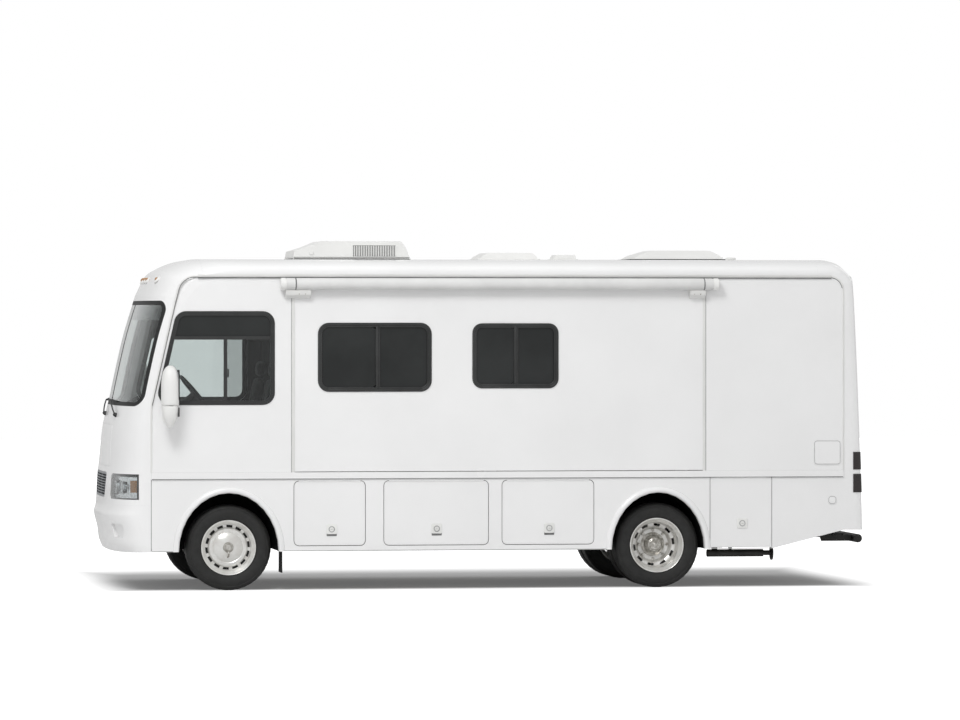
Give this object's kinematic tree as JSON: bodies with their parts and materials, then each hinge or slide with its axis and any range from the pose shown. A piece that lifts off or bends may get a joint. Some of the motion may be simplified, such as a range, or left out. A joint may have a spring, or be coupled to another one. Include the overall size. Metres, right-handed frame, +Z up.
{
  "type": "motorhome",
  "caption": "White integrated motorhome with a slide-out room, side storage bays, roof units, dual rear wheels and hinged doors; it rolls, steers and opens.",
  "frame": {"origin": "middle of the footprint, on the ground under the tyres", "axes": "nose towards -X, driver's left side towards -Y, +Z up"},
  "size_m": [7.44, 3.04, 3.323],
  "materials": {
    "white_gelcoat": "smooth gloss gelcoat",
    "white_plastic": "moulded, satin",
    "tinted_glass": "dark tint, polished",
    "clear_lens": "clear polycarbonate lens",
    "tyre_rubber": "moulded rubber",
    "wheel_steel": "silver painted steel",
    "chassis_paint": "black chassis paint",
    "black_plastic": "grained black plastic",
    "seat_cloth": "woven upholstery",
    "floor_board": "sealed board"
  },
  "bodies": {
    "coach": {"front_cap": "white_gelcoat", "front_bumper": "white_gelcoat", "side_wall_left": "white_gelcoat", "side_wall_right": "white_gelcoat", "skirt_left": "white_gelcoat", "skirt_right": "white_gelcoat", "roof": "white_gelcoat", "rear_cap": "white_gelcoat", "mirror_left": "white_plastic", "mirror_right": "white_plastic", "roof_air_unit": "white_plastic", "roof_skylight": "white_plastic", "roof_vent_front": "white_plastic", "roof_vent_rear": "white_plastic", "windshield": "tinted_glass", "rear_window": "tinted_glass", "cab_window_left": "tinted_glass", "cab_window_right": "tinted_glass", "right_window_front": "tinted_glass", "right_window_rear": "tinted_glass", "headlamp_left": "clear_lens", "headlamp_right": "clear_lens", "chassis_frame": "chassis_paint", "front_axle": "chassis_paint", "rear_axle": "chassis_paint", "engine_block": "chassis_paint", "fuel_tank": "black_plastic", "grille": "black_plastic", "dashboard": "black_plastic", "driver_seat": "seat_cloth", "passenger_seat": "seat_cloth", "floor": "floor_board", "mud_flap_left": "tyre_rubber", "mud_flap_right": "tyre_rubber"},
    "slide_out": {"slide_room": "white_gelcoat", "slide_window_front": "tinted_glass", "slide_window_rear": "tinted_glass", "topper": "white_plastic"},
    "steering_wheel": {"steering_wheel": "black_plastic"},
    "entry_door": {"entry_door": "white_gelcoat"},
    "bin_door_left_front": {"bin_door_left_front": "white_gelcoat"},
    "bin_door_left_middle": {"bin_door_left_middle": "white_gelcoat"},
    "bin_door_left_rear": {"bin_door_left_rear": "white_gelcoat"},
    "service_door_left": {"service_door_left": "white_gelcoat"},
    "bin_door_right_front": {"bin_door_right_front": "white_gelcoat"},
    "bin_door_right_rear": {"bin_door_right_rear": "white_gelcoat"},
    "knuckle_left": {"knuckle_left": "chassis_paint"},
    "front_wheel_left": {"front_tyre_left": "tyre_rubber", "front_wheel_left": "wheel_steel"},
    "rear_wheels_left": {"rear_outer_tyre_left": "tyre_rubber", "rear_inner_tyre_left": "tyre_rubber", "rear_wheel_left": "wheel_steel"},
    "knuckle_right": {"knuckle_right": "chassis_paint"},
    "front_wheel_right": {"front_tyre_right": "tyre_rubber", "front_wheel_right": "wheel_steel"},
    "rear_wheels_right": {"rear_outer_tyre_right": "tyre_rubber", "rear_inner_tyre_right": "tyre_rubber", "rear_wheel_right": "wheel_steel"}
  },
  "joints": [
    {"name": "steer_left", "type": "hinge", "parent": "coach", "child": "knuckle_left", "pos_m": [-2.56, -0.86, 0.4055], "axis": [0, 0, 1], "range_deg": [-32, 32]},
    {"name": "front_wheel_left_spin", "type": "hinge", "parent": "knuckle_left", "child": "front_wheel_left", "pos_m": [-2.56, -1.017, 0.4055], "axis": [0, 1, 0], "continuous": true},
    {"name": "rear_wheels_left_spin", "type": "hinge", "parent": "coach", "child": "rear_wheels_left", "pos_m": [1.564, -0.8835, 0.4055], "axis": [0, 1, 0], "continuous": true},
    {"name": "steer_right", "type": "hinge", "parent": "coach", "child": "knuckle_right", "pos_m": [-2.56, 0.86, 0.4055], "axis": [0, 0, 1], "range_deg": [-32, 32]},
    {"name": "front_wheel_right_spin", "type": "hinge", "parent": "knuckle_right", "child": "front_wheel_right", "pos_m": [-2.56, 1.017, 0.4055], "axis": [0, 1, 0], "continuous": true},
    {"name": "rear_wheels_right_spin", "type": "hinge", "parent": "coach", "child": "rear_wheels_right", "pos_m": [1.564, 0.8835, 0.4055], "axis": [0, 1, 0], "continuous": true},
    {"name": "steering_wheel_turn", "type": "hinge", "parent": "coach", "child": "steering_wheel", "pos_m": [-2.82, -0.55, 1.86], "axis": [-0.766, 0, -0.6428], "range_deg": [-485, 485]},
    {"name": "slide_out_travel", "type": "slide", "parent": "coach", "child": "slide_out", "axis": [0, -1, 0], "range_m": [0, 0.52]},
    {"name": "bin_door_left_front_hinge", "type": "hinge", "parent": "coach", "child": "bin_door_left_front", "pos_m": [-1.6075, -1.22, 1.034], "axis": [-1, 0, 0], "range_deg": [0, 90]},
    {"name": "bin_door_left_middle_hinge", "type": "hinge", "parent": "coach", "child": "bin_door_left_middle", "pos_m": [-0.587, -1.22, 1.034], "axis": [-1, 0, 0], "range_deg": [0, 90]},
    {"name": "bin_door_left_rear_hinge", "type": "hinge", "parent": "coach", "child": "bin_door_left_rear", "pos_m": [0.49, -1.22, 1.034], "axis": [-1, 0, 0], "range_deg": [0, 90]},
    {"name": "service_door_left_hinge", "type": "hinge", "parent": "coach", "child": "service_door_left", "pos_m": [2.3645, -1.22, 1.054], "axis": [-1, 0, 0], "range_deg": [0, 90]},
    {"name": "bin_door_right_front_hinge", "type": "hinge", "parent": "coach", "child": "bin_door_right_front", "pos_m": [-0.5035, 1.22, 1.034], "axis": [1, 0, 0], "range_deg": [0, 90]},
    {"name": "bin_door_right_rear_hinge", "type": "hinge", "parent": "coach", "child": "bin_door_right_rear", "pos_m": [0.49, 1.22, 1.034], "axis": [1, 0, 0], "range_deg": [0, 90]},
    {"name": "entry_door_hinge", "type": "hinge", "parent": "coach", "child": "entry_door", "pos_m": [-1.88, 1.238, 1.52], "axis": [0, 0, 1], "range_deg": [0, 170]}
  ],
  "couplings": [
    {"joint": "steer_right", "follows": "steer_left", "ratio": 1},
    {"joint": "steering_wheel_turn", "follows": "steer_left", "ratio": -15}
  ]
}
